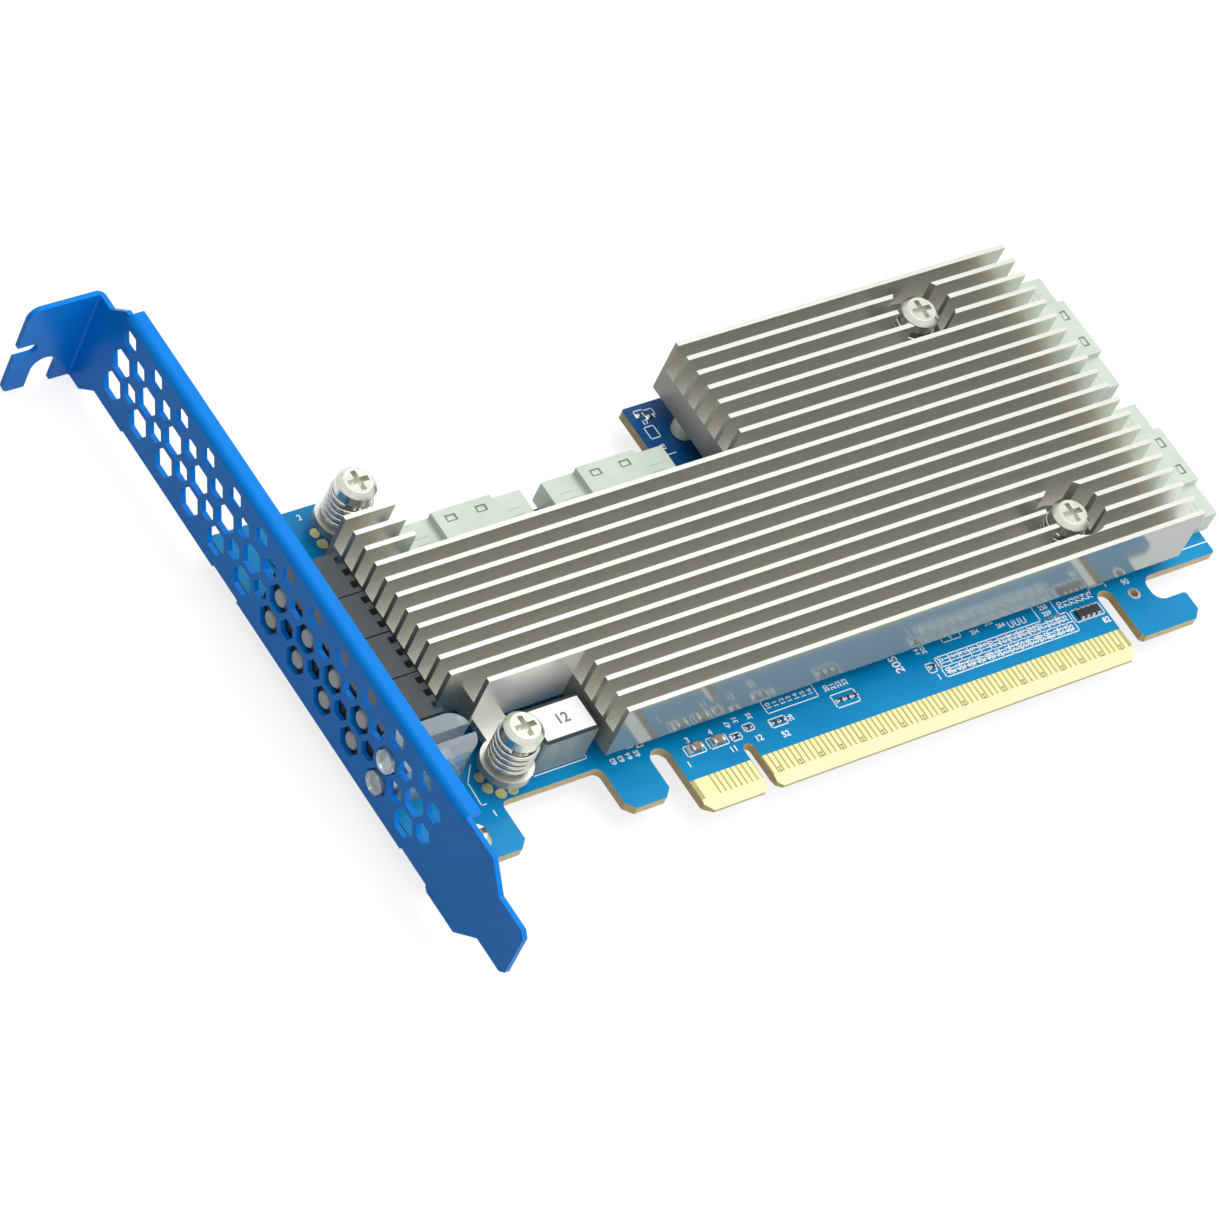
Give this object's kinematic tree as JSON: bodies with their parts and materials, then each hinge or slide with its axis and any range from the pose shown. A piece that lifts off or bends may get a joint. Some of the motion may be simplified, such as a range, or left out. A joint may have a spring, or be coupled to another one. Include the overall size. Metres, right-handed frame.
{
  "type": "raid controller card",
  "caption": "Storage controller card with a vented blue slot bracket, an L-shaped finned heat sink on spring screws, shielded cable connectors and a gold edge connector.",
  "frame": {"origin": "on the card's lower edge, midway across the key notch of the edge connector, on the component side's surface", "axes": "+X along the edge contacts away from the bracket, +Y from the edge contacts up the card, +Z out of the component side"},
  "size_m": [0.1719, 0.1209, 0.0215],
  "materials": {
    "black_moulding": "matt black moulding compound",
    "blue_enamel": "semi-gloss blue enamel on folded steel",
    "board_laminate": "glossy blue solder mask over a tan laminate",
    "bright_plating": "bright nickel plating",
    "chip_laminate": "dark green package laminate",
    "clear_moulding": "clear polished moulding",
    "connector_moulding": "black connector moulding",
    "connector_steel": "tin-plated sheet steel",
    "dark_ceramic": "dark glaze on ceramic",
    "ferrite_moulding": "dark grey pressed iron powder",
    "gold_plating": "thin gold plating, bright",
    "grey_lens": "milky grey lens",
    "indicator_housing": "dark slate moulding",
    "label_film": "plain white film",
    "lamp_body": "pale lamp body",
    "nickel_lid": "satin nickel",
    "plated_aluminium": "warm grey satin plating, faces brushed along the fins",
    "screw_steel": "bright zinc plating",
    "spring_wire": "drawn wire",
    "tan_ceramic": "fired tan ceramic",
    "thermal_pad_rubber": "soft grey filled silicone",
    "tinned_copper": "tinned, slightly dull"
  },
  "bodies": {
    "root": {"bracket": "blue_enamel", "bracket_screws": "screw_steel", "cable_core_1": "connector_moulding", "cable_core_2": "connector_moulding", "cable_core_3": "connector_moulding", "cable_core_4": "connector_moulding", "cable_shell_1": "connector_steel", "cable_shell_2": "connector_steel", "cable_shell_3": "connector_steel", "cable_shell_4": "connector_steel", "capacitor_bodies": "tan_ceramic", "capacitor_ends": "tinned_copper", "circuit_board": "board_laminate", "contacts_back": "gold_plating", "contacts_front": "gold_plating", "controller_base": "chip_laminate", "controller_lid": "nickel_lid", "crystal": "nickel_lid", "flash_chip": "black_moulding", "heat_sink": "plated_aluminium", "inductor_label": "label_film", "inductor_terminals": "tinned_copper", "led_housing_1": "indicator_housing", "led_housing_2": "indicator_housing", "led_housing_3": "indicator_housing", "led_housing_4": "indicator_housing", "led_lenses_1": "grey_lens", "led_lenses_2": "grey_lens", "led_lenses_3": "grey_lens", "led_lenses_4": "grey_lens", "light_pipe": "clear_moulding", "memory_chips": "black_moulding", "pipe_lamps": "lamp_body", "power_inductor": "ferrite_moulding", "regulators": "black_moulding", "resistor_array_bodies": "dark_ceramic", "resistor_array_ends": "tinned_copper", "resistor_bodies": "dark_ceramic", "resistor_ends": "tinned_copper", "spring_screws": "screw_steel", "springs": "spring_wire", "standoffs": "bright_plating", "thermal_pad": "thermal_pad_rubber"}
  },
  "joints": []
}
